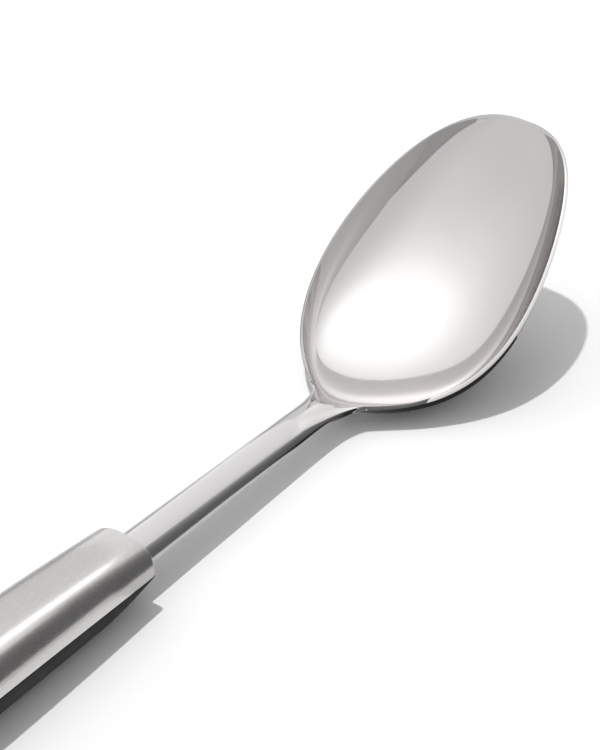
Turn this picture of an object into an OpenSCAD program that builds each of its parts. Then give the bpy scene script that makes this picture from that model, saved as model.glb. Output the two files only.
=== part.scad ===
// Cooking spoon: a pressed steel bowl on a long arched shank, held in a two-part core
// inside a brushed steel sleeve with a soft grip along its underside.
// +X runs from the tail of the handle to the tip of the bowl, +Z is up,
// and the spoon lies on the plane z = 0 as it rests on a table, bowl upwards.

/* [Bowl] */
// Length of the bowl along the table, from the neck crest to the tip
bowl_len = 101.7; // [80:0.1:130]
// Width of the bowl across the outside of its rim
bowl_w = 68; // [50:1:90]
// Height of the rim at the tip
tip_h = 53.2; // [40:0.1:64]
// Height of the crest where the bowl meets the shank
neck_h = 11; // [9:0.1:14]
// Drop of the rim below a straight line from neck to tip, at mid length
rim_sag = 8.7; // [4:0.1:10]
// How much the rim sags more towards the neck than towards the tip
rim_lean = 12.7; // [8:0.1:14]
// Extra drop of the rim close to its two ends
rim_ends = 4.5; // [2:0.1:5]
// Distance from the neck crest to the lowest point of the bowl
bowl_foot = 30; // [24:0.5:40]
// Radius of the underside where it stands on the table
foot_r = 74; // [60:1:90]
// Radius of the pointed end of the rim at the neck
nose_r = 1.4; // [1:0.1:3]
// Thickness of the sheet in the bowl
bowl_sheet = 1.1; // [0.8:0.1:1.8]

/* [Shank] */
// Length of shank that shows between the handle and the neck crest
shank_len = 84.7; // [60:0.1:120]
// Width of the shank where it leaves the handle
shank_mouth_w = 12.9; // [10:0.1:15]
// Width of the shank just before it flares into the bowl
shank_neck_w = 11; // [9:0.1:14]
// Height of the shank's cut edges at the handle
edge_mouth_h = 9.7; // [9:0.1:11]
// Height of the shank's cut edges before the flare
edge_neck_h = 8.3; // [6:0.1:9]
// Rise of the arch above its cut edges at the handle
arch_mouth = 5; // [4:0.1:6]
// Rise of the arch above its cut edges before the flare
arch_neck = 3.4; // [2.6:0.1:4.4]
// Thickness of the sheet in the shank
shank_sheet = 1.8; // [1.2:0.1:2.2]
// Length of the flare that widens the shank into the bowl
flare_len = 14; // [8:1:24]
// Length of rim at each side of the crest that the flare runs into
join_len = 9.5; // [5:0.5:13]
// Length of the tang inside the handle
tang_len = 58; // [48:1:72]

/* [Handle] */
// Length of the handle from the sleeve's mouth to the tail
handle_len = 138.6; // [120:0.1:165]
// Length of the tail cap behind the steel sleeve
cap_len = 21.6; // [20:0.1:26]
// Width of the handle at the mouth
mouth_w = 20.4; // [18:0.1:24]
// Greatest width of the handle
belly_w = 23.5; // [20:0.1:28]
// Height of the top of the handle at the mouth
mouth_h = 18.7; // [17:0.1:21]
// Greatest height of the top of the handle
belly_h = 23.5; // [22:0.1:28]
// Height of the widest level at the mouth
waist_mouth_h = 11; // [10:0.1:12.5]
// Height of the widest level at the belly
waist_belly_h = 13.9; // [13:0.1:16]
// Height of the tail's rounded end
tail_h = 9; // [7:0.1:11]
// Distance from the mouth to the fullest part of the handle
belly_run = 76; // [65:1:85]
// Wall of the steel sleeve
sleeve_wall = 0.8; // [0.5:0.1:1.2]
// Rounding of the sleeve's mouth edge
mouth_round = 0.9; // [0.3:0.1:1.4]
// Drop of the sleeve's lower edge below the widest level, at the mouth and at the belly
edge_drop = 1.7; // [1:0.1:3]
// Thickness of the soft grip
grip_wall = 2.6; // [2:0.1:3.2]
// Height of the grip's underside at the mouth, where it curls up
grip_toe_h = 4.5; // [1:0.1:5]
// Length over which the grip's underside comes down to the table
grip_toe_run = 20; // [8:1:25]
// Depth that is taken off the underside to make the flat sole
sole_cut = 0.5; // [0.3:0.1:1]

/* [Inside the handle] */
// Thickness of the seal that closes the mouth round the shank
seal_len = 4; // [3:0.5:6]
// Length of the tail cap's plug inside the sleeve
plug_len = 9; // [6:1:12]
// Radius of the rivets through the tang
rivet_r = 1.6; // [1:0.1:1.9]
// Radius of the rivet heads
rivet_head_r = 2.8; // [2.2:0.1:3.2]
// Thickness of the rivet heads
rivet_head_h = 1.1; // [0.8:0.1:1.4]
// Length of a rivet between its heads
rivet_grip = 9.4; // [8.4:0.1:10.4]
// Distance from the mouth to the first rivet
rivet_first = 16; // [12:1:20]
// Distance between the rivets
rivet_pitch = 26; // [16:1:30]
// How far the rivets' middle lies above the cut edges of the tang
rivet_rise = 1.7; // [1:0.1:2.2]

/* [Hang hole] */
// Radius of the hang hole
hang_r = 4; // [3:0.1:4.5]
// Distance from the end of the tail to the middle of the hole
hang_inset = 13; // [12:0.5:14]
// Radius of the flat ring round the hole
hang_ring_r = 5.6; // [5:0.1:6]
// Depth of the flat ring below the top of the cap
hang_ring_top = 2.4; // [2:0.1:3]
// Depth of the flat ring above the underside of the cap
hang_ring_under = 1.8; // [1.4:0.1:2.4]

/* [Fits] */
// Gap between neighbouring pieces of the handle
fit_gap = 0.15; // [0.1:0.01:0.25]
// Gap round the rivets
rivet_gap = 0.08; // [0.05:0.01:0.15]

/* [Hidden] */

steel = "#c9c9c7";
brushed = "#bdbcb9";
black = "#2a2a2b";
plastic = "#3a3a3c";

// Counts: rows along each piece and columns across it
bowl_rows = 34;
flare_rows = 12;
sheet_cols = 26;
shell_cols = 28;
handle_rows = 22;
solid_cols = 16;
round_fn = 64;
steps = 2000;
right_angle = 90;

// Shares and powers that set the outline of the bowl
neck_power = 1.78;
tip_power = 0.41;
taper_share = -3.96;
fullness_share = 1.29;
nose_fade_share = 0.05;
wall_share = 0.53;
wall_power = 11;
back_share = 0.6;
back_power = 4;
rim_out_share = 0.9;
tip_start_share = 0.86;
tip_spread_power = 2.7;
crest_power = 0.83;
blend_share = 0.15;

// Powers of the rounded sections
arch_power = 2;
flare_power = 4;
crown_power = 2.3;
sole_power = 2.2;
tail_power = 3;
crown_tail_power = 2.4;
sole_tail_power = 4;
blunt_power = 0.6;
round_power = 0.5;
tail_end_share = 0.995;
arch_cols_share = 0.6;

// Places along the spoon
total_len = bowl_len + shank_len + handle_len;
neck_x = total_len / 2 - bowl_len;
mouth_x = neck_x - shank_len;
sleeve_len = handle_len - cap_len;
rim_out = rim_out_share * bowl_sheet;
in_len = bowl_len - rim_out;
step = bowl_len / steps;
small = sleeve_wall / steps;
over = belly_w;

// Shape functions of one number
function lerp(a, b, t) = a + (b - a) * t;
function clamp01(t) = max(0, min(1, t));
function ease(t) = t * t * (3 - 2 * t);
function unit(v) = v / norm(v);
function side(v) = v < 0 ? -1 : 1;

// Rim of the bowl: half width and height at a distance x from the neck crest
function egg(t) =
    pow(t, neck_power) * pow(1 - t, tip_power) * exp(taper_share * t + fullness_share * t * t);
egg_max = max([for (i = [1 : 99]) egg(i / 100)]);
function rim_egg(t) = (bowl_w / 2 - rim_out) * egg(t) / egg_max;
function rim_nose(x) = 2 * nose_r * x * exp(-x / (nose_fade_share * in_len));
function rim_y(x) =
    let (t = clamp01(x / in_len)) sqrt(pow(rim_egg(t), 2) + max(0, rim_nose(x)));
function rim_z(x) =
    let (t = x / in_len, c = 2 * t - 1)
    lerp(neck_h, tip_h, t) - 4 * t * (1 - t) * (rim_sag - rim_lean * c + rim_ends * c * c);

// Keel: the inside of the bowl along its middle
neck_bend_share = (neck_h - bowl_sheet) * 2 * foot_r / pow(bowl_foot, 2) - 1;
tip_run = in_len - bowl_foot;
tip_bend_share = (tip_h - bowl_sheet) * 2 * foot_r / pow(tip_run, 2) - 1;
function keel_z(x) =
    let (u = x - bowl_foot, t = u < 0 ? u / bowl_foot : u / tip_run)
    bowl_sheet + u * u / (2 * foot_r) * (1 + (u < 0 ? neck_bend_share : tip_bend_share) * t * t);

// Inside surface of the bowl, as a height over the table, and the way its wall is thick,
// which follows a softer curve so that the cut edge runs evenly round the rim
function wall(v, share, power) = share * v * v + (1 - share) * pow(v, power);
function hollow_z(x, y, share, power) =
    let (w = rim_y(x))
    w < small ? rim_z(x) : lerp(keel_z(x), rim_z(x), wall(abs(y) / w, share, power));
function bowl_z(x, y) = hollow_z(x, y, wall_share, wall_power);
function back_z(x, y) = hollow_z(x, y, back_share, back_power);
function bowl_normal(x, y) =
    let (dx = x < in_len / 2 ? step : -step,
         slope_x = (back_z(x + dx, y) - back_z(x, y)) / dx,
         dy = -side(y) * step,
         slope_y = rim_y(x) < 2 * step ? 0 : (back_z(x, y + dy) - back_z(x, y)) / dy)
    unit([-slope_x, abs(y) < small ? 0 : -slope_y, 1]);

// Spread of the columns: drawn to the edges, where the arch and the bowl's wall are steep
function spread(v) = side(v) * pow(abs(sin(right_angle * v)), 2 / arch_power);

// Places of a column at the neck crest, at the tip arc, and in between
function crest_at(v) = let (x = join_len * pow(abs(v), crest_power)) [x, side(v) * rim_y(x)];
function tip_at(v) =
    let (x = lerp(in_len, tip_start_share * in_len, pow(abs(v), tip_spread_power)))
    [x, side(v) * rim_y(x)];
function bowl_at(s, v0) =
    let (v = spread(v0),
         x_side = lerp(join_len, tip_start_share * in_len, s),
         ends = lerp(crest_at(v), tip_at(v), s),
         y_ends = v * lerp(rim_y(join_len), rim_y(tip_start_share * in_len), s))
    [ends.x, ends.y + v * rim_y(x_side) - y_ends];

// Arched section of the shank at a distance d from the neck crest towards the tail
function run_share(d) = (d - flare_len) / (shank_len - flare_len);
function shank_w(d) = lerp(shank_neck_w, shank_mouth_w, clamp01(run_share(d))) / 2;
function edge_z(d) = lerp(edge_neck_h, edge_mouth_h, run_share(d));
function arch_h(d) = lerp(arch_neck, arch_mouth, clamp01(run_share(d)));
function arch_point(w, h, v) =
    [w * spread(v), h * pow(abs(cos(right_angle * v)), 2 / arch_power)];
function arch_normal(w, h, v) =
    let (p = 2 - 2 / arch_power)
    unit([0, side(v) * pow(abs(sin(right_angle * v)), p) / w, pow(abs(cos(right_angle * v)), p) / h]);
function shank_top(d, v) =
    let (p = arch_point(shank_w(d), arch_h(d), v)) [-d, p.x, edge_z(d) + p.y];
function shank_normal(d, v) = arch_normal(shank_w(d), arch_h(d), v);

// The crest, and the flare between it and the shank
function crest_top(v) = let (p = crest_at(spread(v))) [p.x, p.y, rim_z(p.x)];
function crest_normal(v) =
    let (p = crest_at(spread(v))) unit(bowl_normal(p.x, p.y) + [0, 0, 1]);
function flare_top(q, v) =
    let (a = shank_top(flare_len, v), b = crest_top(v))
    [lerp(a.x, b.x, q), lerp(a.y, b.y, pow(q, flare_power)), lerp(a.z, b.z, q * q)];
function flare_normal(q, v) =
    unit(lerp(shank_normal(flare_len, v), crest_normal(v), q));

// A piece between an upper and a lower grid of points, closed all round
module slab(upper, lower) {
    rows = len(upper);
    cols = len(upper[0]);
    points = concat([for (r = upper) each r], [for (r = lower) each r]);
    low = rows * cols;
    function quad(a, b, c, d) = [[a, c, b], [a, d, c]];
    skins = [for (i = [0 : rows - 2], j = [0 : cols - 2])
        let (a = i * cols + j, b = a + cols)
        each concat(quad(a, b, b + 1, a + 1), quad(low + a, low + a + 1, low + b + 1, low + b))];
    sides = [for (i = [0 : rows - 2])
        let (a = i * cols, b = a + cols, e = a + cols - 1, f = b + cols - 1)
        each concat(quad(a, low + a, low + b, b), quad(e, f, low + f, low + e))];
    ends = [for (j = [0 : cols - 2])
        let (z = (rows - 1) * cols)
        each concat(quad(j, j + 1, low + j + 1, low + j),
                    quad(z + j, low + z + j, low + z + j + 1, z + j + 1))];
    polyhedron(points, concat(skins, sides, ends));
}

// Handle outline at a distance s from the mouth towards the tail
function rise(s) = sin(right_angle * clamp01(s / belly_run));
function tail_share(s) = tail_end_share * clamp01((s - belly_run) / (handle_len - belly_run));
function half_w(s) =
    lerp(mouth_w, belly_w, rise(s)) / 2 * pow(1 - pow(tail_share(s), tail_power), round_power);
function waist_z(s) =
    s < belly_run ? lerp(waist_mouth_h, waist_belly_h, rise(s))
                  : lerp(waist_belly_h, tail_h, ease(tail_share(s)));
function crown_h(s) =
    lerp(mouth_h - waist_mouth_h, belly_h - waist_belly_h, rise(s))
    * pow(1 - pow(tail_share(s), crown_tail_power), blunt_power);
function sole_z(s) =
    s < grip_toe_run ? lerp(-sole_cut, grip_toe_h, pow(1 - s / grip_toe_run, 2)) : -sole_cut;
function sole_h(s) =
    (waist_z(s) - sole_z(s)) * pow(1 - pow(tail_share(s), sole_tail_power), round_power);

// A point of the handle's section, set in from the skin, at an angle up from the side
function skin_point(s, inset, a) =
    let (up = sin(a) >= 0,
         n = 2 / (up ? crown_power : sole_power),
         w = half_w(s) - inset,
         h = (up ? crown_h(s) : sole_h(s)) - inset,
         y = w * side(cos(a)) * pow(abs(cos(a)), n),
         z = waist_z(s) + h * side(sin(a)) * pow(abs(sin(a)), n))
    [mouth_x - s, y, max(z, inset)];

// Angle at which the section, set in from the skin, reaches a level below or above its waist
function level_angle(s, inset, z) =
    let (d = z - waist_z(s),
         h = (d < 0 ? sole_h(s) : crown_h(s)) - inset,
         n = (d < 0 ? sole_power : crown_power) / 2)
    side(d) * asin(clamp01(pow(abs(d) / h, n)));

// Levels of the sleeve's lower edge, of the tang's cut edges, and of the core's outer seam
function parting_z(s) = waist_z(s) - edge_drop;
function split_z(s) = edge_z(shank_len + min(s, tang_len));
function meet_z(s) = max(split_z(s), parting_z(s));

// Rows of a handle piece between two distances from the mouth
function stations(a, b, n) = [for (i = [0 : n]) lerp(a, b, i / n)];
function across(n) = [for (j = [0 : n]) 1 - 2 * j / n];

// Upper skin from one lower edge over the crown to the other, and lower skin round the sole
function over_row(s, inset, z) =
    let (a0 = level_angle(s, inset, z))
    [for (v = across(shell_cols)) skin_point(s, inset, right_angle + v * (a0 - right_angle))];
function under_row(s, inset, z) =
    let (a0 = level_angle(s, inset, z))
    [for (v = across(shell_cols)) skin_point(s, inset, -right_angle + v * (a0 + right_angle))];

// Inside of the core round the tang: arched pocket above, matching saddle below
function pocket_point(s, v, grow, drop, inset) =
    let (w = shank_mouth_w / 2 + grow,
         u = abs(v) / arch_cols_share,
         p = arch_point(w, arch_mouth + grow, min(1, u)),
         meet = meet_z(s) - drop,
         reach = skin_point(s, inset, level_angle(s, inset, meet)).y,
         t = clamp01((u - 1) / (1 / arch_cols_share - 1)))
    [mouth_x - s, side(v) * lerp(p.x, reach, t), lerp(split_z(s) - drop + p.y, meet, t)];
function pocket_row(s, grow, drop, inset) =
    [for (v = across(shell_cols)) pocket_point(s, v, grow, drop, inset)];

core_start = seal_len + fit_gap;
core_end = sleeve_len - plug_len - fit_gap;
over_inset = sleeve_wall + fit_gap;
under_inset = grip_wall + fit_gap;
tang_end = tang_len + fit_gap;
lip = sleeve_wall;
rivet_places = [for (i = [0 : 1]) rivet_first + i * rivet_pitch];
function rivet_mid_z(s) = split_z(s) + rivet_rise;
hang_s = handle_len - hang_inset;
hang_top_z = waist_z(hang_s) + crown_h(hang_s) - hang_ring_top;
hang_under_z = waist_z(hang_s) - sole_h(hang_s) + hang_ring_under;

module rivet_hole(s) {
    translate([mouth_x - s, 0, -over / 2])
        cylinder(r = rivet_r + rivet_gap, h = 2 * over, $fn = round_fn);
}

// Pressed sheet: tang, arched shank, flare and bowl in one piece
module bowl_and_shank() {
    cols = across(sheet_cols);
    tail_d = shank_len + tang_len;
    d_rows = concat([for (i = [0 : 4]) lerp(tail_d, shank_len, i / 4)],
                    [for (i = [1 : 6]) lerp(shank_len, flare_len, i / 6)]);
    flare_q = [for (i = [1 : flare_rows]) i / flare_rows];
    bowl_s = [for (i = [1 : bowl_rows]) lerp(i / bowl_rows, ease(i / bowl_rows), round_power)];
    function thick(q) = lerp(shank_sheet, bowl_sheet, q);
    function blend(s) = ease(clamp01(s / blend_share));
    upper = concat(
        [for (d = d_rows) [for (v = cols) shank_top(d, v)]],
        [for (q = flare_q) [for (v = cols) flare_top(q, v)]],
        [for (s = bowl_s) [for (v = cols) let (p = bowl_at(s, v)) [p.x, p.y, bowl_z(p.x, p.y)]]]);
    lower = concat(
        [for (d = d_rows) [for (v = cols) shank_top(d, v) - shank_sheet * shank_normal(d, v)]],
        [for (q = flare_q) [for (v = cols) flare_top(q, v) - thick(q) * flare_normal(q, v)]],
        [for (s = bowl_s) [for (v = cols)
            let (p = bowl_at(s, v), n = lerp(crest_normal(v), bowl_normal(p.x, p.y), blend(s)))
            [p.x, p.y, bowl_z(p.x, p.y)] - bowl_sheet * unit(n)]]);
    color(steel)
        difference() {
            translate([neck_x, 0, 0]) slab(upper, lower);
            for (s = rivet_places) rivet_hole(s);
        }
}

// Brushed sleeve, open along its underside
module steel_sleeve() {
    round_rows = [for (i = [4 : -1 : 0]) mouth_round * i / 4];
    rows = concat(stations(sleeve_len, 2 * mouth_round, handle_rows), round_rows);
    function lip_inset(s) =
        s >= mouth_round ? 0
                         : (sleeve_wall - fit_gap) * (1 - sqrt(1 - pow(1 - s / mouth_round, 2)));
    color(brushed)
        slab([for (s = rows) over_row(s, lip_inset(s), parting_z(s))],
             [for (s = rows) over_row(s, sleeve_wall, parting_z(s))]);
}

// Soft grip along the underside, flush with the sleeve, with a flat sole
module soft_grip() {
    rows = concat(stations(sleeve_len, grip_toe_run, handle_rows),
                  [for (i = [5 : -1 : 0]) grip_toe_run * i / 6]);
    color(black)
        slab([for (s = rows) under_row(s, grip_wall, parting_z(s) - fit_gap)],
             [for (s = rows) under_row(s, 0, parting_z(s) - fit_gap)]);
}

// Upper half of the core: fills the sleeve above the tang
module core_upper() {
    rows = stations(core_end, core_start, solid_cols);
    color(plastic)
        difference() {
            slab([for (s = rows) over_row(s, over_inset, meet_z(s) + lip)],
                 [for (s = rows) pocket_row(s, fit_gap, 0, over_inset)]);
            for (s = rivet_places) {
                rivet_hole(s);
                translate([mouth_x - s, 0, rivet_mid_z(s) + rivet_grip / 2])
                    cylinder(r = rivet_head_r + rivet_gap, h = over, $fn = round_fn);
            }
        }
}

// Lower half of the core: carries the tang and lies in the grip
module core_lower() {
    rows = concat(stations(core_end, tang_end + fit_gap, round(solid_cols / 2)),
                  stations(tang_end, core_start, round(solid_cols / 2)));
    function saddle(s) = s > tang_end ? -fit_gap : -shank_sheet - fit_gap;
    color(plastic)
        difference() {
            slab([for (s = rows) pocket_row(s, saddle(s), fit_gap, under_inset)],
                 [for (s = rows) under_row(s, under_inset, meet_z(s) - fit_gap - lip)]);
            for (s = rivet_places) {
                rivet_hole(s);
                translate([mouth_x - s, 0, rivet_mid_z(s) - rivet_grip / 2 - over])
                    cylinder(r = rivet_head_r + rivet_gap, h = over, $fn = round_fn);
            }
        }
}

// Seal that closes the mouth of the handle round the shank
module front_seal() {
    d = shank_len + seal_len / 2;
    half = shank_w(d);
    rise_top = arch_h(d);
    over_pts = [for (p = over_row(0, over_inset, parting_z(0))) [p.y, p.z]];
    under_pts = [for (p = under_row(0, under_inset, parting_z(0))) [p.y, p.z]];
    turn = across(solid_cols);
    outer = [for (v = turn) arch_point(half + fit_gap, rise_top + fit_gap, v) + [0, edge_z(d)]];
    inner = [for (v = turn)
        arch_point(half - shank_sheet - fit_gap, rise_top - shank_sheet - fit_gap, -v)
        + [0, edge_z(d)]];
    foot = [for (k = [-1, 1]) [k * (half + fit_gap), edge_z(d) - fit_gap]];
    foot_in = [for (k = [1, -1]) [k * (half - shank_sheet - fit_gap), edge_z(d) - fit_gap]];
    color(black)
        translate([mouth_x - seal_len, 0, 0]) rotate([90, 0, 90])
            linear_extrude(height = seal_len - mouth_round / 2)
                difference() {
                    polygon(concat(over_pts, [for (i = [shell_cols : -1 : 0]) under_pts[i]]));
                    polygon(concat(outer, [foot[0], foot_in[1]], inner, [foot_in[0], foot[1]]));
                }
}

// Tail cap: plugs the sleeve and carries the hang hole
module tail_cap() {
    shown = [for (i = [0 : handle_rows / 2])
        lerp(handle_len, sleeve_len + fit_gap, pow(i / (handle_rows / 2), 2 - round_power))];
    plug = stations(sleeve_len + fit_gap, sleeve_len - plug_len, 2);
    function upper_row(s, inset) = over_row(s, inset, waist_z(s) + lip / 2);
    function lower_row(s, inset) = under_row(s, inset, waist_z(s) - lip / 2);
    color(black)
        difference() {
            slab(concat([for (s = shown) upper_row(s, 0)], [for (s = plug) upper_row(s, over_inset)]),
                 concat([for (s = shown) lower_row(s, 0)], [for (s = plug) lower_row(s, under_inset)]));
            translate([mouth_x - hang_s, 0, -over / 2])
                cylinder(r = hang_r, h = 2 * over, $fn = round_fn);
            translate([mouth_x - hang_s, 0, hang_top_z])
                cylinder(r = hang_ring_r, h = over, $fn = round_fn);
            translate([mouth_x - hang_s, 0, hang_under_z - over])
                cylinder(r = hang_ring_r, h = over, $fn = round_fn);
        }
}

// Rivets that clamp the core halves on the tang
module tang_rivets() {
    color(steel)
        for (s = rivet_places)
            translate([mouth_x - s, 0, rivet_mid_z(s)]) {
                cylinder(r = rivet_r, h = rivet_grip, center = true, $fn = round_fn);
                for (k = [0, 1]) mirror([0, 0, k]) translate([0, 0, rivet_grip / 2])
                    cylinder(r = rivet_head_r, h = rivet_head_h, $fn = round_fn);
            }
}

bowl_and_shank();
steel_sleeve();
soft_grip();
core_upper();
core_lower();
front_seal();
tail_cap();
tang_rivets();
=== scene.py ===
from math import asin, cos, exp, pi, radians, sin, sqrt

import bmesh
import bpy
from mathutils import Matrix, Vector


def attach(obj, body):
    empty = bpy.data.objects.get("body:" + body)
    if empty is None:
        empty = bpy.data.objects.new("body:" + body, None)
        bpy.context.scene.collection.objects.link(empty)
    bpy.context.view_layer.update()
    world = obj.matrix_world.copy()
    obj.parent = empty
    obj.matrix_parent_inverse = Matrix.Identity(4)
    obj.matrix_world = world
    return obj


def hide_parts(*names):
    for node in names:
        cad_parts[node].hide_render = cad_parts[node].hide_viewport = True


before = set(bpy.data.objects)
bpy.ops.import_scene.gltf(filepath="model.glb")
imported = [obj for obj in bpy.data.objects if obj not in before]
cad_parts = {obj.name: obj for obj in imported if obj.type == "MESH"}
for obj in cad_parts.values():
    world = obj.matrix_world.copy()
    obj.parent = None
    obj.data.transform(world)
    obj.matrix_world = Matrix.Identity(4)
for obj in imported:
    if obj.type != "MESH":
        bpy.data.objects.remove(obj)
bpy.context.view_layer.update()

# Camera: stands in front of the handle's near side and looks down the length of the
# spoon, with a long lens, as the photograph was taken.
VIEW_AZIMUTH = radians(36.429)
VIEW_DROP = radians(35.145)
VIEW_DISTANCE = 0.900438
VIEW_POINT = Vector((0.080775, 0.021081, 0.0))
LENS = 151.286
SENSOR = 36.0
CLIP_NEAR = 0.01
CLIP_FAR = 60.0

looking = Vector((
    cos(VIEW_DROP) * cos(VIEW_AZIMUTH),
    cos(VIEW_DROP) * sin(VIEW_AZIMUTH),
    -sin(VIEW_DROP)))
camera = bpy.data.objects.new("camera", bpy.data.cameras.new("camera"))
camera.data.lens = LENS
camera.data.sensor_width = SENSOR
camera.data.clip_start = CLIP_NEAR
camera.data.clip_end = CLIP_FAR
camera.location = VIEW_POINT - looking * VIEW_DISTANCE
camera.rotation_euler = looking.to_track_quat("-Z", "Y").to_euler()
bpy.context.scene.collection.objects.link(camera)
bpy.context.scene.camera = camera
bpy.context.scene.view_settings.view_transform = "Standard"

# Studio: a matt white table in a soft white tent, under a small hard lamp and a broad soft
# one, both behind the spoon. Pale glowing and dark sheets, seen only in the metal and lighting
# nothing, stand round it as painted reflections and painted shade.
MM = 0.001
TABLE_HALF = 4.0
TABLE_DROP = 0.0001
TABLE_COLOUR = (0.95, 0.95, 0.95, 1.0)
TABLE_REFLECTED_SHADE = (0.42, 0.42, 0.42, 1.0)
TABLE_OVAL = (0.45, 1.0, 1.0)
TABLE_NEAR = 0.06
TABLE_FAR = 0.16
# A reflection sheet's two ends along the spoon, its two edges across, the first edge's heights
# at both ends, the second edge's, its glow from the first edge to the second, and how that
# bends.
REFLECTION_CARDS = {
    "shank_band_reflection": ((-28, 80), (-24, -24), (6, 6), (72, 55), (0.19, 1.00), 2.6),
    "shank_roof_reflection": ((-12, 60), (-12, 40), (45, 28), (22, 8), (0.90, 1.57), 0.2),
    "handle_band_reflection": ((-163, -4), (-31, -31), (8, 8), (60, 60), (0.22, 0.60), 4.0),
    # Painted highlight: the bright streak along the sleeve, seen only in the metal.
    "painted_streak_highlight": ((-163, 8), (-11, -4), (54, 54), (52, 52), (3.80, 3.80), 1.0),
    "handle_roof_reflection": ((-163, 8), (-4, 45), (52, 52), (30, 30), (1.27, 1.15), 1.0),
    # Painted reflection: a bright sheet on the table that only the sleeve's lower side
    # mirrors.
    "floor_glow_reflection": ((-163, -26), (-31, -11), (-0.05, -0.05), (-0.05, -0.05), (1.30, 1.30), 1.0),
    # Painted shade: a dark sheet under the bowl, mirrored as the dark line below its near rim.
    "under_bowl_painted_shade": ((52, 132), (-62, -3), (-0.05, -0.05), (-0.05, -0.05), (0.03, 0.50), 12.0)}
# A lamp's drop from level, its strength, its width as an angle, and if metal mirrors it.
LAMP_AZIMUTH = radians(-99.5)
LAMPS = {
    "lamp": (radians(77.4), 1.56, radians(1.6), True),
    "soft_lamp": (radians(52.0), 0.65, radians(75.0), False)}
REFLECTIONS = 12
TENT_TILT = radians(12.5)
TENT_WAY = radians(25.0)
TENT_FOOT = (0.035, 0.05)
FOOT_SHADE = 0.5
TENT_LIGHT = (0.48, 0.48, 0.48, 1.0)
TENT_RAMP = (
    (0.00, 0.88), (0.30, 0.95), (0.50, 1.06),
    (0.64, 1.19), (0.76, 1.38), (0.88, 1.72), (1.0, 2.8))
BLACK = (0.0, 0.0, 0.0, 1.0)
WHITE = (1.0, 1.0, 1.0, 1.0)


def add_object(name, mesh):
    thing = bpy.data.objects.new(name, mesh)
    bpy.context.scene.collection.objects.link(thing)
    return thing


def mesh_from(bm, name):
    mesh = bpy.data.meshes.new(name)
    bm.to_mesh(mesh)
    bm.free()
    return mesh


def new_material(name):
    material = bpy.data.materials.new(name)
    material.use_nodes = True
    nodes = material.node_tree.nodes
    return material, nodes, material.node_tree.links, nodes["Principled BSDF"]


bm = bmesh.new()
bmesh.ops.create_grid(bm, x_segments=1, y_segments=1, size=TABLE_HALF)
for vert in bm.verts:
    vert.co.z = -TABLE_DROP
table = add_object("table", mesh_from(bm, "table"))
table_finish, nodes, links, shader = new_material("table_finish")
shader.inputs["Roughness"].default_value = 1.0
shader.inputs["Specular IOR Level"].default_value = 0.0
# Painted shade seen only by the metal: glossy rays see the table turn grey away from the
# spoon.
coords = nodes.new("ShaderNodeTexCoord")
oval = nodes.new("ShaderNodeMapping")
oval.inputs["Scale"].default_value = TABLE_OVAL
links.new(coords.outputs["Object"], oval.inputs["Vector"])
apart = nodes.new("ShaderNodeVectorMath")
apart.operation = "LENGTH"
links.new(oval.outputs["Vector"], apart.inputs[0])
fading = nodes.new("ShaderNodeMapRange")
fading.interpolation_type = "SMOOTHSTEP"
fading.inputs["From Min"].default_value = TABLE_NEAR
fading.inputs["From Max"].default_value = TABLE_FAR
links.new(apart.outputs["Value"], fading.inputs["Value"])
ray = nodes.new("ShaderNodeLightPath")
faded = nodes.new("ShaderNodeMath")
faded.operation = "MULTIPLY"
links.new(fading.outputs["Result"], faded.inputs[0])
links.new(ray.outputs["Is Glossy Ray"], faded.inputs[1])
shade = nodes.new("ShaderNodeMix")
shade.data_type = "RGBA"
shade.inputs["A"].default_value = TABLE_COLOUR
shade.inputs["B"].default_value = TABLE_REFLECTED_SHADE
links.new(faded.outputs["Value"], shade.inputs["Factor"])
links.new(shade.outputs["Result"], shader.inputs["Base Color"])
table.data.materials.append(table_finish)

# Painted reflections and painted shade: each sheet glows or stays dark for the metal alone.
for name, (ends, edges, first_heights, second_heights, glows, bend) in REFLECTION_CARDS.items():
    reflection_paint, nodes, links, shader = new_material(name)
    shader.inputs["Base Color"].default_value = BLACK
    shader.inputs["Specular IOR Level"].default_value = 0.0
    shader.inputs["Emission Color"].default_value = WHITE
    climb = nodes.new("ShaderNodeSeparateXYZ")
    links.new(nodes.new("ShaderNodeUVMap").outputs["UV"], climb.inputs["Vector"])
    bent = nodes.new("ShaderNodeMath")
    bent.operation = "POWER"
    bent.inputs[1].default_value = bend
    links.new(climb.outputs["Y"], bent.inputs[0])
    glow = nodes.new("ShaderNodeMapRange")
    glow.inputs["To Min"].default_value, glow.inputs["To Max"].default_value = glows
    links.new(bent.outputs["Value"], glow.inputs["Value"])
    links.new(glow.outputs["Result"], shader.inputs["Emission Strength"])
    bm = bmesh.new()
    bmesh.ops.create_grid(bm, x_segments=1, y_segments=1, size=1.0, calc_uvs=False)
    climb_layer = bm.loops.layers.uv.new("climb")
    for face in bm.faces:
        for loop in face.loops:
            loop[climb_layer].uv = (0.0, 1.0 if loop.vert.co.y > 0 else 0.0)
    for vert in bm.verts:
        end, edge = int(vert.co.x > 0), int(vert.co.y > 0)
        heights = second_heights if edge else first_heights
        vert.co = Vector((ends[end], edges[edge], heights[end])) * MM
    card = add_object(name, mesh_from(bm, name))
    card.data.materials.append(reflection_paint)
    card.visible_camera = False
    card.visible_diffuse = False
    card.visible_shadow = False

for name, (drop, strength, angle, mirrored) in LAMPS.items():
    lamp_way = Vector((
        cos(drop) * cos(LAMP_AZIMUTH), cos(drop) * sin(LAMP_AZIMUTH), -sin(drop)))
    lamp = bpy.data.objects.new(name, bpy.data.lights.new(name, "SUN"))
    lamp.data.energy = strength
    lamp.data.angle = angle
    lamp.rotation_euler = lamp_way.to_track_quat("-Z", "Y").to_euler()
    lamp.visible_glossy = mirrored
    bpy.context.scene.collection.objects.link(lamp)

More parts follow.
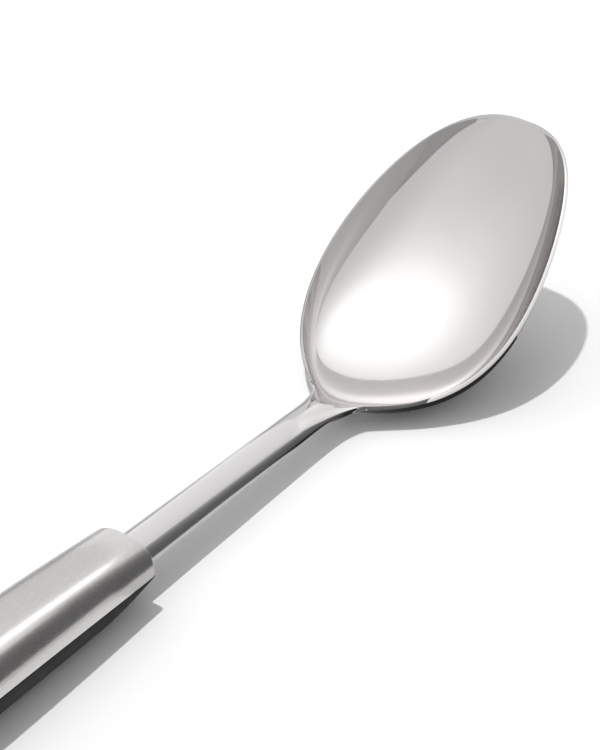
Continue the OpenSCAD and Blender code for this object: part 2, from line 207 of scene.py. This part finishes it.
# The camera sees the tent as plain white, metal sees the ramp and the darker foot, and
# everything that is lit by it gets the same even light from all sides.
tent = bpy.data.worlds.new("tent")
tent.use_nodes = True
tent.cycles.sampling_method = "NONE"
bpy.context.scene.cycles.glossy_bounces = REFLECTIONS
bpy.context.scene.world = tent
nodes = tent.node_tree.nodes
links = tent.node_tree.links
background = nodes["Background"]
direction = nodes.new("ShaderNodeTexCoord")
height = nodes.new("ShaderNodeVectorMath")
height.operation = "DOT_PRODUCT"
height.inputs[1].default_value = (
    sin(TENT_TILT) * cos(TENT_WAY), sin(TENT_TILT) * sin(TENT_WAY), cos(TENT_TILT))
links.new(direction.outputs["Generated"], height.inputs[0])
ramp = nodes.new("ShaderNodeValToRGB")
while len(ramp.color_ramp.elements) < len(TENT_RAMP):
    ramp.color_ramp.elements.new(1.0)
for stop, (place, level) in zip(ramp.color_ramp.elements, TENT_RAMP):
    stop.position = place
    stop.color = (level, level, level, 1.0)
links.new(height.outputs["Value"], ramp.inputs["Fac"])
upright = nodes.new("ShaderNodeSeparateXYZ")
links.new(direction.outputs["Generated"], upright.inputs["Vector"])
foot = nodes.new("ShaderNodeMapRange")
foot.inputs["From Min"].default_value, foot.inputs["From Max"].default_value = TENT_FOOT
foot.inputs["To Min"].default_value = FOOT_SHADE
links.new(upright.outputs["Z"], foot.inputs["Value"])
shaded = nodes.new("ShaderNodeVectorMath")
shaded.operation = "SCALE"
links.new(ramp.outputs["Color"], shaded.inputs[0])
links.new(foot.outputs["Result"], shaded.inputs["Scale"])
ray = nodes.new("ShaderNodeLightPath")
shiny = nodes.new("ShaderNodeMath")
shiny.operation = "MAXIMUM"
links.new(ray.outputs["Is Glossy Ray"], shiny.inputs[0])
links.new(ray.outputs["Is Transmission Ray"], shiny.inputs[1])
seen_in_metal = nodes.new("ShaderNodeMix")
seen_in_metal.data_type = "RGBA"
seen_in_metal.inputs["A"].default_value = TENT_LIGHT
first_hand = nodes.new("ShaderNodeMath")
first_hand.operation = "SUBTRACT"
first_hand.use_clamp = True
links.new(shiny.outputs["Value"], first_hand.inputs[0])
links.new(ray.outputs["Diffuse Depth"], first_hand.inputs[1])
links.new(first_hand.outputs["Value"], seen_in_metal.inputs["Factor"])
links.new(shaded.outputs["Vector"], seen_in_metal.inputs["B"])
seen = nodes.new("ShaderNodeMix")
seen.data_type = "RGBA"
seen.inputs["B"].default_value = WHITE
links.new(ray.outputs["Is Camera Ray"], seen.inputs["Factor"])
links.new(seen_in_metal.outputs["Result"], seen.inputs["A"])
links.new(seen.outputs["Result"], background.inputs["Color"])

# Bowl and shank: one blank of stainless sheet, pressed into a deep pointed bowl and an
# arched shank, ground along its cut edge and polished. Its tang runs into the handle.
SPOON_LEN = 325.0
BOWL_LEN = 101.7
BOWL_WIDTH = 68.0
TIP_HEIGHT = 53.2
NECK_HEIGHT = 11.0
RIM_SAG = 8.7
RIM_LEAN = 12.7
RIM_ENDS = 4.5
BOWL_FOOT = 30.0
FOOT_RADIUS = 74.0
NOSE_RADIUS = 1.4
BOWL_SHEET = 1.1
RIM_OUT_SHARE = 0.9
RIM_INSET = RIM_OUT_SHARE * BOWL_SHEET
HOLLOW_LEN = BOWL_LEN - RIM_INSET
NECK_POWER = 1.78
TIP_POWER = 0.41
TAPER = -3.96
FULLNESS = 1.29
NOSE_FADE = 0.05
EGG_STEPS = 100
WALL = (0.53, 11)
BACK_WALL = (0.6, 4)
TIP_SHARE = 0.86
TIP_START = TIP_SHARE * HOLLOW_LEN
TIP_SPREAD = 2.7
CREST_POWER = 0.83
BLEND_SHARE = 0.15
SHANK_LEN = 84.7
SHANK_MOUTH_WIDTH = 12.9
SHANK_NECK_WIDTH = 11.0
EDGE_MOUTH = 9.7
EDGE_NECK = 8.3
ARCH_MOUTH = 5.0
ARCH_NECK = 3.4
ARCH_POWER = 2.0
SHANK_SHEET = 1.8
FLARE_LEN = 14.0
JOIN_LEN = 9.5
FLARE_POWER = 4
TANG_LEN = 58.0
NECK_X = SPOON_LEN / 2 - BOWL_LEN
MOUTH_X = NECK_X - SHANK_LEN
STEP = 0.05
TINY = 0.0004
SHEET_COLUMNS = 96
TANG_ROWS = 12
SHANK_ROWS = 48
FLARE_ROWS = 28
BOWL_ROWS = 150
EVEN_ROWS = 0.5
CREST_REACH = 2
CREST_ROUNDS = 3
SMOOTHING = 0.5
SHARP_ANGLE = 50.0
CREASE_ANGLE = 40.0
CUT_EDGE = 0.28
POLISH_FROM = (0.045, 0.064)
BOWL_GLOSS = (0.035, 0.08)
SHANK_GLOSS = (0.12, 0.18)
CLOUDS = (45.0, 6.0)
BUFFING = (1.0, 8.0, (60.0, 900.0, 900.0))
BUFFING_BUMP = (0.03, 0.00005)
NOISE_SPAN = (0.3, 0.7)
SHANK_STEEL = (0.475, 0.465, 0.465, 1.0)
STEEL_LIGHT = (0.602, 0.588, 0.583, 1.0)
STEEL_DARK = (0.577, 0.563, 0.558, 1.0)


def lerp(a, b, t):
    return a + (b - a) * t


def clamp(t):
    return max(0.0, min(1.0, t))


def ease(t):
    return t * t * (3 - 2 * t)


def signed(v, size):
    return -size if v < 0 else size


def egg(t):
    return t ** NECK_POWER * (1 - t) ** TIP_POWER * exp(TAPER * t + FULLNESS * t * t)


EGG_MAX = max(egg(i / EGG_STEPS) for i in range(1, EGG_STEPS))


def rim_half(x):
    body = (BOWL_WIDTH / 2 - RIM_INSET) * egg(clamp(x / HOLLOW_LEN)) / EGG_MAX
    nose = 2 * NOSE_RADIUS * x * exp(-x / (NOSE_FADE * HOLLOW_LEN))
    return sqrt(body * body + max(0.0, nose))


def rim_height(x):
    t = x / HOLLOW_LEN
    c = 2 * t - 1
    sag = RIM_SAG - RIM_LEAN * c + RIM_ENDS * c * c
    return lerp(NECK_HEIGHT, TIP_HEIGHT, t) - 4 * t * (1 - t) * sag


def keel_height(x):
    u = x - BOWL_FOOT
    run, end = (BOWL_FOOT, NECK_HEIGHT) if u < 0 else (HOLLOW_LEN - BOWL_FOOT, TIP_HEIGHT)
    bend = (end - BOWL_SHEET) * 2 * FOOT_RADIUS / run ** 2 - 1
    return BOWL_SHEET + u * u / (2 * FOOT_RADIUS) * (1 + bend * (u / run) ** 2)


def hollow_height(x, y, wall=WALL):
    half = rim_half(x)
    if half < TINY:
        return rim_height(x)
    share, power = wall
    v = abs(y) / half
    return lerp(keel_height(x), rim_height(x), share * v * v + (1 - share) * v ** power)


def hollow_normal(x, y):
    dx = STEP if x < HOLLOW_LEN / 2 else -STEP
    here = hollow_height(x, y, BACK_WALL)
    slope_x = (hollow_height(x + dx, y, BACK_WALL) - here) / dx
    dy = -signed(y, STEP)
    slope_y = 0.0
    if rim_half(x) > 2 * STEP and abs(y) > TINY:
        slope_y = (hollow_height(x, y + dy, BACK_WALL) - here) / dy
    return Vector((-slope_x, -slope_y, 1.0)).normalized()


def spread(v):
    return signed(v, abs(sin(pi / 2 * v)) ** (2 / ARCH_POWER))


def crest_at(v):
    x = JOIN_LEN * abs(v) ** CREST_POWER
    return Vector((x, signed(v, rim_half(x))))


def tip_at(v):
    x = lerp(HOLLOW_LEN, TIP_START, abs(v) ** TIP_SPREAD)
    return Vector((x, signed(v, rim_half(x))))


def hollow_at(s, v0):
    v = spread(v0)
    ends = crest_at(v).lerp(tip_at(v), s)
    side = v * rim_half(lerp(JOIN_LEN, TIP_START, s))
    even = v * lerp(rim_half(JOIN_LEN), rim_half(TIP_START), s)
    x, y = ends.x, ends.y + side - even
    return Vector((x, y, hollow_height(x, y)))


def run_share(d):
    return (d - FLARE_LEN) / (SHANK_LEN - FLARE_LEN)


def arch_size(d):
    t = clamp(run_share(d))
    return lerp(SHANK_NECK_WIDTH, SHANK_MOUTH_WIDTH, t) / 2, lerp(ARCH_NECK, ARCH_MOUTH, t)


def cut_edge_height(d):
    return lerp(EDGE_NECK, EDGE_MOUTH, run_share(d))


def shank_point(d, v):
    half, rise = arch_size(d)
    crown = rise * abs(cos(pi / 2 * v)) ** (2 / ARCH_POWER)
    return Vector((-d, half * spread(v), cut_edge_height(d) + crown))


def shank_normal(d, v):
    half, rise = arch_size(d)
    power = 2 - 2 / ARCH_POWER
    out = signed(v, abs(sin(pi / 2 * v)) ** power / half)
    return Vector((0.0, out, abs(cos(pi / 2 * v)) ** power / rise)).normalized()


def crest_point(v):
    p = crest_at(spread(v))
    return Vector((p.x, p.y, rim_height(p.x)))


def crest_normal(v):
    p = crest_at(spread(v))
    return (hollow_normal(p.x, p.y) + Vector((0.0, 0.0, 1.0))).normalized()


def flare_point(q, v):
    a, b = shank_point(FLARE_LEN, v), crest_point(v)
    return Vector((lerp(a.x, b.x, q), lerp(a.y, b.y, q ** FLARE_POWER), lerp(a.z, b.z, q * q)))


def sheet_top(row, v):
    kind, t = row
    if kind == "shank":
        return shank_point(t, v)
    return flare_point(t, v) if kind == "flare" else hollow_at(t, v)


def sheet_back(row, v):
    kind, t = row
    top = sheet_top(row, v)
    if kind == "shank":
        return top - shank_normal(t, v) * SHANK_SHEET
    if kind == "flare":
        normal = shank_normal(FLARE_LEN, v).lerp(crest_normal(v), t)
        return top - normal.normalized() * lerp(SHANK_SHEET, BOWL_SHEET, t)
    normal = crest_normal(v).lerp(hollow_normal(top.x, top.y), ease(clamp(t / BLEND_SHARE)))
    return top - normal.normalized() * BOWL_SHEET


def walled_skin(rows, columns, front, back, origin=Vector((0.0, 0.0, 0.0)), soften=()):
    """A grid pressed to its front skin, then drawn back to give it a closed wall."""
    bm = bmesh.new()
    bm.loops.layers.uv.new("run")
    last_row, last_column = len(rows) - 1, len(columns) - 1
    bmesh.ops.create_grid(
        bm, x_segments=last_row, y_segments=last_column, size=1.0, calc_uvs=True)
    depth = bm.verts.layers.float_vector.new("depth")
    near_crest = []
    for vert in bm.verts:
        i = round((vert.co.x + 1) / 2 * last_row)
        j = round((vert.co.y + 1) / 2 * last_column)
        skin = front(rows[i], columns[j])
        vert[depth] = (skin - back(rows[i], columns[j])) * MM
        vert.co = (skin + origin) * MM
        if i in soften and 0 < j < last_column:
            near_crest.append(vert)
    for _ in range(CREST_ROUNDS if near_crest else 0):
        bmesh.ops.smooth_vert(
            bm, verts=near_crest, factor=SMOOTHING,
            use_axis_x=True, use_axis_y=True, use_axis_z=True)
    made = bmesh.ops.extrude_face_region(bm, geom=bm.faces[:])["geom"]
    for part in made:
        if isinstance(part, bmesh.types.BMVert):
            part.co -= part[depth]
    bmesh.ops.recalc_face_normals(bm, faces=bm.faces)
    return bm


def ease_edges(bm, width, above=SHARP_ANGLE):
    """Breaks the sharp edges of a piece by the given width."""
    sharp = [e for e in bm.edges if e.is_manifold and e.calc_face_angle() > radians(above)]
    bmesh.ops.bevel(
        bm, geom=sharp, offset=width * MM, offset_type="OFFSET", affect="EDGES",
        segments=2, profile=0.5, material=-1, clamp_overlap=True)


def finish_mesh(bm, name, material):
    mesh = mesh_from(bm, name)
    mesh.polygons.foreach_set("use_smooth", [True] * len(mesh.polygons))
    mesh.set_sharp_from_angle(angle=radians(CREASE_ANGLE))
    mesh.materials.append(material)
    return add_object(name, mesh)


def surface_noise(nodes, links, scale, detail, stretch=(1.0, 1.0, 1.0)):
    """Noise on the object's own coordinates, drawn out by stretch."""
    coords = nodes.new("ShaderNodeTexCoord")
    mapping = nodes.new("ShaderNodeMapping")
    mapping.inputs["Scale"].default_value = stretch
    links.new(coords.outputs["Object"], mapping.inputs["Vector"])
    noise = nodes.new("ShaderNodeTexNoise")
    noise.inputs["Scale"].default_value = scale
    noise.inputs["Detail"].default_value = detail
    links.new(mapping.outputs["Vector"], noise.inputs["Vector"])
    return noise.outputs["Fac"]


def ranged(nodes, links, source, low, high, span=NOISE_SPAN):
    """Turns what lies inside the span into a value from low to high."""
    scale = nodes.new("ShaderNodeMapRange")
    scale.inputs["From Min"].default_value, scale.inputs["From Max"].default_value = span
    scale.inputs["To Min"].default_value = low
    scale.inputs["To Max"].default_value = high
    links.new(source, scale.inputs["Value"])
    return scale.outputs["Result"]


def mixed(nodes, links, source, first, second):
    """Goes from the first to the second, each a plain value or another node's."""
    mix = nodes.new("ShaderNodeMix")
    mix.data_type = "RGBA"
    for name, value in (("A", first), ("B", second)):
        if isinstance(value, tuple):
            mix.inputs[name].default_value = value
        else:
            links.new(value, mix.inputs[name])
    links.new(source, mix.inputs["Factor"])
    return mix.outputs["Result"]


def bumped(nodes, links, shader, source, strength, distance):
    bump = nodes.new("ShaderNodeBump")
    bump.inputs["Strength"].default_value = strength
    bump.inputs["Distance"].default_value = distance
    links.new(source, bump.inputs["Height"])
    links.new(bump.outputs["Normal"], shader.inputs["Normal"])


polished_steel, nodes, links, shader = new_material("polished_steel")
shader.inputs["Metallic"].default_value = 1.0
cloudy = surface_noise(nodes, links, *CLOUDS)
mirror = mixed(nodes, links, ranged(nodes, links, cloudy, 0.0, 1.0), STEEL_DARK, STEEL_LIGHT)
place = nodes.new("ShaderNodeTexCoord")
along = nodes.new("ShaderNodeSeparateXYZ")
links.new(place.outputs["Object"], along.inputs["Vector"])
in_bowl = ranged(nodes, links, along.outputs["X"], 0.0, 1.0, POLISH_FROM)
links.new(mixed(nodes, links, in_bowl, SHANK_STEEL, mirror), shader.inputs["Base Color"])
buffing = surface_noise(nodes, links, *BUFFING)
gloss = ranged(nodes, links, buffing, *BOWL_GLOSS)
satin = ranged(nodes, links, buffing, *SHANK_GLOSS)
links.new(mixed(nodes, links, in_bowl, satin, gloss), shader.inputs["Roughness"])
bumped(nodes, links, shader, buffing, *BUFFING_BUMP)

sheet_rows = [("shank", lerp(SHANK_LEN + TANG_LEN, SHANK_LEN, i / TANG_ROWS))
              for i in range(TANG_ROWS)]
sheet_rows += [("shank", lerp(SHANK_LEN, FLARE_LEN, i / SHANK_ROWS))
               for i in range(SHANK_ROWS)]
sheet_rows += [("flare", i / FLARE_ROWS) for i in range(FLARE_ROWS + 1)]
crest_row = len(sheet_rows) - 1
sheet_rows += [("bowl", lerp(i / BOWL_ROWS, ease(i / BOWL_ROWS), EVEN_ROWS))
               for i in range(1, BOWL_ROWS + 1)]
across = [1 - 2 * j / SHEET_COLUMNS for j in range(SHEET_COLUMNS + 1)]
bm = walled_skin(
    sheet_rows, across, sheet_top, sheet_back, Vector((NECK_X, 0.0, 0.0)),
    soften=range(crest_row - CREST_REACH, crest_row + CREST_REACH + 1))
ease_edges(bm, CUT_EDGE)
spoon_sheet = finish_mesh(bm, "pressed_sheet", polished_steel)
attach(spoon_sheet, "root")
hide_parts("bowl_and_shank")

# Steel sleeve: drawn from thin stainless, open along its underside, with its mouth edge
# turned in. It is brushed lengthwise and pressed over the core.
HANDLE_LEN = 138.6
CAP_LEN = 21.6
SLEEVE_LEN = HANDLE_LEN - CAP_LEN
MOUTH_WIDTH = 20.4
BELLY_WIDTH = 23.5
MOUTH_HEIGHT = 18.7
BELLY_HEIGHT = 23.5
WAIST_MOUTH = 11.0
WAIST_BELLY = 13.9
TAIL_HEIGHT = 9.0
BELLY_RUN = 76.0
SLEEVE_WALL = 0.8
MOUTH_ROUND = 0.9
EDGE_DROP = 1.7
CROWN_POWER = 2.3
SOLE_POWER = 2.2
TAIL_POWER = 3
CROWN_TAIL_POWER = 2.4
SOLE_TAIL_POWER = 4
BLUNT_POWER = 0.6
TAIL_END = 0.9995
FIT_GAP = 0.15
GRIP_WALL = 2.6
GRIP_TOE_HEIGHT = 4.5
GRIP_TOE_RUN = 20.0
SOLE_CUT = 0.5
SLEEVE_ROWS = 60
LIP_ROWS = 8
LIP_STARTS = (2.0, 1.4)
SHELL_COLUMNS = 72
LIP_EDGE = 0.12
BRUSHED_LIGHT = (0.47, 0.458, 0.452, 1.0)
BRUSHED_DARK = (0.435, 0.424, 0.418, 1.0)
STREAKS = (1.0, 3.0, (60.0, 3600.0, 3600.0))
HAIRLINES = (1.0, 2.0, (420.0, 6500.0, 6500.0))
BRUSHED_GLOSS = (0.22, 0.28)
BRUSHED_BUMP = (0.03, 0.00002)


def rise(s):
    return sin(pi / 2 * clamp(s / BELLY_RUN))


def tail_share(s):
    return TAIL_END * clamp((s - BELLY_RUN) / (HANDLE_LEN - BELLY_RUN))


def half_width(s):
    return lerp(MOUTH_WIDTH, BELLY_WIDTH, rise(s)) / 2 * sqrt(1 - tail_share(s) ** TAIL_POWER)


def waist(s):
    if s < BELLY_RUN:
        return lerp(WAIST_MOUTH, WAIST_BELLY, rise(s))
    return lerp(WAIST_BELLY, TAIL_HEIGHT, ease(tail_share(s)))


def crown(s):
    full = lerp(MOUTH_HEIGHT - WAIST_MOUTH, BELLY_HEIGHT - WAIST_BELLY, rise(s))
    return full * (1 - tail_share(s) ** CROWN_TAIL_POWER) ** BLUNT_POWER


def sole(s):
    low = -SOLE_CUT
    if s < GRIP_TOE_RUN:
        low = lerp(-SOLE_CUT, GRIP_TOE_HEIGHT, (1 - s / GRIP_TOE_RUN) ** 2)
    return (waist(s) - low) * sqrt(1 - tail_share(s) ** SOLE_TAIL_POWER)


def skin_point(s, inset, angle):
    up = sin(angle) >= 0
    power = 2 / (CROWN_POWER if up else SOLE_POWER)
    wide = max(half_width(s) - inset, TINY)
    high = max((crown(s) if up else sole(s)) - inset, TINY)
    y = signed(cos(angle), wide * abs(cos(angle)) ** power)
    z = waist(s) + signed(sin(angle), high * abs(sin(angle)) ** power)
    return Vector((MOUTH_X - s, y, max(z, inset)))


def level_angle(s, inset, level):
    d = level - waist(s)
    high = (sole(s) if d < 0 else crown(s)) - inset
    power = (SOLE_POWER if d < 0 else CROWN_POWER) / 2
    return signed(d, asin(clamp((abs(d) / high) ** power)))


def parting(s):
    return waist(s) - EDGE_DROP


def lip_inset(s):
    if s >= MOUTH_ROUND:
        return 0.0
    return (SLEEVE_WALL - FIT_GAP) * (1 - sqrt(1 - (1 - s / MOUTH_ROUND) ** 2))


def over_point(s, inset, level, v):
    return skin_point(s, inset, pi / 2 + v * (level_angle(s, inset, level) - pi / 2))


def under_point(s, inset, level, v):
    return skin_point(s, inset, -pi / 2 + v * (level_angle(s, inset, level) + pi / 2))


def finished(name, dark, light, tone, grain, gloss, bump):
    """A finish with clouds or streaks in its colour, and a grain in its gloss and bump."""
    material, nodes, links, shader = new_material(name)
    clouds = ranged(nodes, links, surface_noise(nodes, links, *tone), 0.0, 1.0)
    links.new(mixed(nodes, links, clouds, dark, light), shader.inputs["Base Color"])
    fine = surface_noise(nodes, links, *grain)
    links.new(ranged(nodes, links, fine, *gloss), shader.inputs["Roughness"])
    bumped(nodes, links, shader, fine, *bump)
    return material, shader


brushed_steel, shader = finished(
    "brushed_steel", BRUSHED_DARK, BRUSHED_LIGHT, STREAKS, HAIRLINES, BRUSHED_GLOSS,
    BRUSHED_BUMP)
shader.inputs["Metallic"].default_value = 1.0

shell_across = [1 - 2 * j / SHELL_COLUMNS for j in range(SHELL_COLUMNS + 1)]
lip_rows = [start * MOUTH_ROUND for start in LIP_STARTS]
sleeve_rows = [lerp(SLEEVE_LEN, lip_rows[0], i / SLEEVE_ROWS) for i in range(SLEEVE_ROWS)]
sleeve_rows += lip_rows
sleeve_rows += [MOUTH_ROUND * (1 - sin(pi / 2 * i / LIP_ROWS)) for i in range(LIP_ROWS + 1)]
bm = walled_skin(
    sleeve_rows, shell_across,
    lambda s, v: over_point(s, lip_inset(s), parting(s), v),
    lambda s, v: over_point(s, SLEEVE_WALL, parting(s), v))
ease_edges(bm, LIP_EDGE)
sleeve = finish_mesh(bm, "drawn_sleeve", brushed_steel)
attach(sleeve, "root")
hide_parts("steel_sleeve")

# Soft grip: a black rubber-like shell moulded along the underside, flush with the
# sleeve's lower edges, with a fine matt grain and a flat sole to rest on.
GRIP_ROWS = 56
TOE_ROWS = 20
GRIP_EDGE = 0.2
GRIP_LIGHT = (0.024, 0.024, 0.025, 1.0)
GRIP_DARK = (0.014, 0.014, 0.015, 1.0)
GRIP_PATCHES = (120.0, 6.0)
GRIP_GRAIN = (3200.0, 3.0)
GRIP_GLOSS = (0.62, 0.82)
GRIP_BUMP = (0.5, 0.00006)
RUBBER_SHEEN = 0.14

soft_black, shader = finished(
    "soft_black", GRIP_DARK, GRIP_LIGHT, GRIP_PATCHES, GRIP_GRAIN, GRIP_GLOSS, GRIP_BUMP)
shader.inputs["Specular IOR Level"].default_value = RUBBER_SHEEN

grip_rows = [lerp(SLEEVE_LEN, GRIP_TOE_RUN, i / GRIP_ROWS) for i in range(GRIP_ROWS)]
grip_rows += [GRIP_TOE_RUN * (1 - i / TOE_ROWS) for i in range(TOE_ROWS + 1)]
bm = walled_skin(
    grip_rows, shell_across,
    lambda s, v: under_point(s, 0.0, parting(s) - FIT_GAP, v),
    lambda s, v: under_point(s, GRIP_WALL, parting(s) - FIT_GAP, v))
ease_edges(bm, GRIP_EDGE)
grip = finish_mesh(bm, "moulded_grip", soft_black)
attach(grip, "root")
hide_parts("soft_grip")

# Tail cap: a solid black plastic end, moulded with a plug that is pressed into the
# sleeve, and pierced by the hang hole with a flat ring sunk round it.
PLUG_LEN = 9.0
HANG_RADIUS = 4.0
HANG_INSET = 13.0
RING_RADIUS = 5.6
RING_TOP = 2.4
RING_UNDER = 1.8
CAP_ROWS = 44
PLUG_ROWS = 6
CAP_LIP = 0.8
HOLE_SIDES = 96
HOLE_ROUND = 0.5
HOLE_STEPS = 4
HOLE_REACH = 30.0
MERGE_GAP = 1e-6
END_BUNCHING = 1.5
CAP_EDGE = 0.2
CAP_SHARP_ANGLE = 60.0
CAP_CREASE_ANGLE = 35.0
CAP_LIGHT = (0.045, 0.045, 0.047, 1.0)
CAP_DARK = (0.032, 0.032, 0.034, 1.0)
CAP_CLOUDS = (90.0, 5.0)
CAP_GRAIN = (2400.0, 2.0)
CAP_GLOSS = (0.42, 0.6)
CAP_BUMP = (0.35, 0.00005)
CAP_SHEEN = 0.45

hard_black, shader = finished(
    "hard_black", CAP_DARK, CAP_LIGHT, CAP_CLOUDS, CAP_GRAIN, CAP_GLOSS, CAP_BUMP)
shader.inputs["Specular IOR Level"].default_value = CAP_SHEEN

cap_rows = [(lerp(HANDLE_LEN, SLEEVE_LEN + FIT_GAP, (i / CAP_ROWS) ** END_BUNCHING), 0.0)
            for i in range(CAP_ROWS + 1)]
cap_rows += [(lerp(SLEEVE_LEN + FIT_GAP, SLEEVE_LEN - PLUG_LEN, i / PLUG_ROWS), 1.0)
             for i in range(PLUG_ROWS + 1)]


def cap_top(row, v):
    s, plug = row
    return over_point(s, plug * (SLEEVE_WALL + FIT_GAP), waist(s) + CAP_LIP / 2, v)


def cap_under(row, v):
    s, plug = row
    return under_point(s, plug * (GRIP_WALL + FIT_GAP), waist(s) - CAP_LIP / 2, v)


bm = walled_skin(cap_rows, shell_across, cap_top, cap_under)
ease_edges(bm, CAP_EDGE, CAP_SHARP_ANGLE)
cap = finish_mesh(bm, "tail_end", hard_black)

hang_s = HANDLE_LEN - HANG_INSET
ring_high = waist(hang_s) + crown(hang_s) - RING_TOP
ring_low = waist(hang_s) - sole(hang_s) + RING_UNDER
turns = [pi / 2 * i / HOLE_STEPS for i in range(HOLE_STEPS + 1)]
hole_side = [(0.0, -HOLE_REACH), (RING_RADIUS, -HOLE_REACH), (RING_RADIUS, ring_low)]
hole_side += [(HANG_RADIUS + HOLE_ROUND * (1 - sin(a)), ring_low + HOLE_ROUND * (1 - cos(a)))
              for a in turns]
hole_side += [(HANG_RADIUS + HOLE_ROUND * (1 - cos(a)), ring_high - HOLE_ROUND * (1 - sin(a)))
              for a in turns]
hole_side += [(RING_RADIUS, ring_high), (RING_RADIUS, HOLE_REACH), (0.0, HOLE_REACH)]
bm = bmesh.new()
hole_x = MOUTH_X - hang_s
outline = [bm.verts.new(Vector((hole_x + r, 0.0, z)) * MM) for r, z in hole_side]
edges = [bm.edges.new(pair) for pair in zip(outline, outline[1:])]
bmesh.ops.spin(
    bm, geom=outline + edges, cent=Vector((hole_x, 0.0, 0.0)) * MM, axis=(0.0, 0.0, 1.0),
    angle=2 * pi, steps=HOLE_SIDES, use_merge=True)
bmesh.ops.remove_doubles(bm, verts=bm.verts, dist=MERGE_GAP)
bmesh.ops.recalc_face_normals(bm, faces=bm.faces)
punch = finish_mesh(bm, "punch", hard_black)
cut = cap.modifiers.new("hang_hole", "BOOLEAN")
cut.object = punch
cut.operation = "DIFFERENCE"
cut.solver = "EXACT"
bpy.context.view_layer.update()
cut_cap = cap.evaluated_get(bpy.context.evaluated_depsgraph_get())
pierced = bpy.data.meshes.new_from_object(cut_cap)
cap.modifiers.clear()
cap.data = pierced
cap.data.set_sharp_from_angle(angle=radians(CAP_CREASE_ANGLE))
bpy.data.objects.remove(punch)
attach(cap, "root")
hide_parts("tail_cap")

# Front seal: a soft plastic plug that closes the mouth of the handle round the shank.
# It keeps its moulded shape from the frame and gets the same matt black as the grip.
SEAL_CLOUDS = (150.0, 5.0)
SEAL_GRAIN = (2800.0, 3.0)
SEAL_GLOSS = (0.55, 0.75)
SEAL_BUMP = (0.4, 0.00005)

seal_black, shader = finished(
    "seal_black", GRIP_DARK, GRIP_LIGHT, SEAL_CLOUDS, SEAL_GRAIN, SEAL_GLOSS, SEAL_BUMP)
shader.inputs["Specular IOR Level"].default_value = RUBBER_SHEEN


def dress(node, material):
    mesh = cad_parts[node].data
    mesh.materials.clear()
    mesh.materials.append(material)


dress("front_seal", seal_black)

# Core halves: two grey mouldings that clamp the tang inside the sleeve and the grip.
# They are filled plastic, out of sight once the handle is closed.
CORE_LIGHT = (0.20, 0.20, 0.21, 1.0)
CORE_DARK = (0.15, 0.15, 0.16, 1.0)
CORE_CLOUDS = (70.0, 5.0)
CORE_GRAIN = (1500.0, 3.0)
CORE_GLOSS = (0.45, 0.65)
CORE_BUMP = (0.3, 0.00006)

core_grey, _ = finished(
    "core_grey", CORE_DARK, CORE_LIGHT, CORE_CLOUDS, CORE_GRAIN, CORE_GLOSS, CORE_BUMP)
dress("core_upper", core_grey)
dress("core_lower", core_grey)

# Tang rivets: two plain steel rivets with flat turned heads, set through both core
# halves and the tang before the sleeve goes on.
RIVET_LIGHT = (0.66, 0.66, 0.66, 1.0)
RIVET_DARK = (0.56, 0.56, 0.56, 1.0)
TURNING = (1400.0, 4.0)
RIVET_GLOSS = (0.25, 0.4)
RIVET_BUMP = (0.2, 0.00004)

rivet_steel, shader = finished(
    "rivet_steel", RIVET_DARK, RIVET_LIGHT, TURNING, TURNING, RIVET_GLOSS, RIVET_BUMP)
shader.inputs["Metallic"].default_value = 1.0
dress("tang_rivets", rivet_steel)
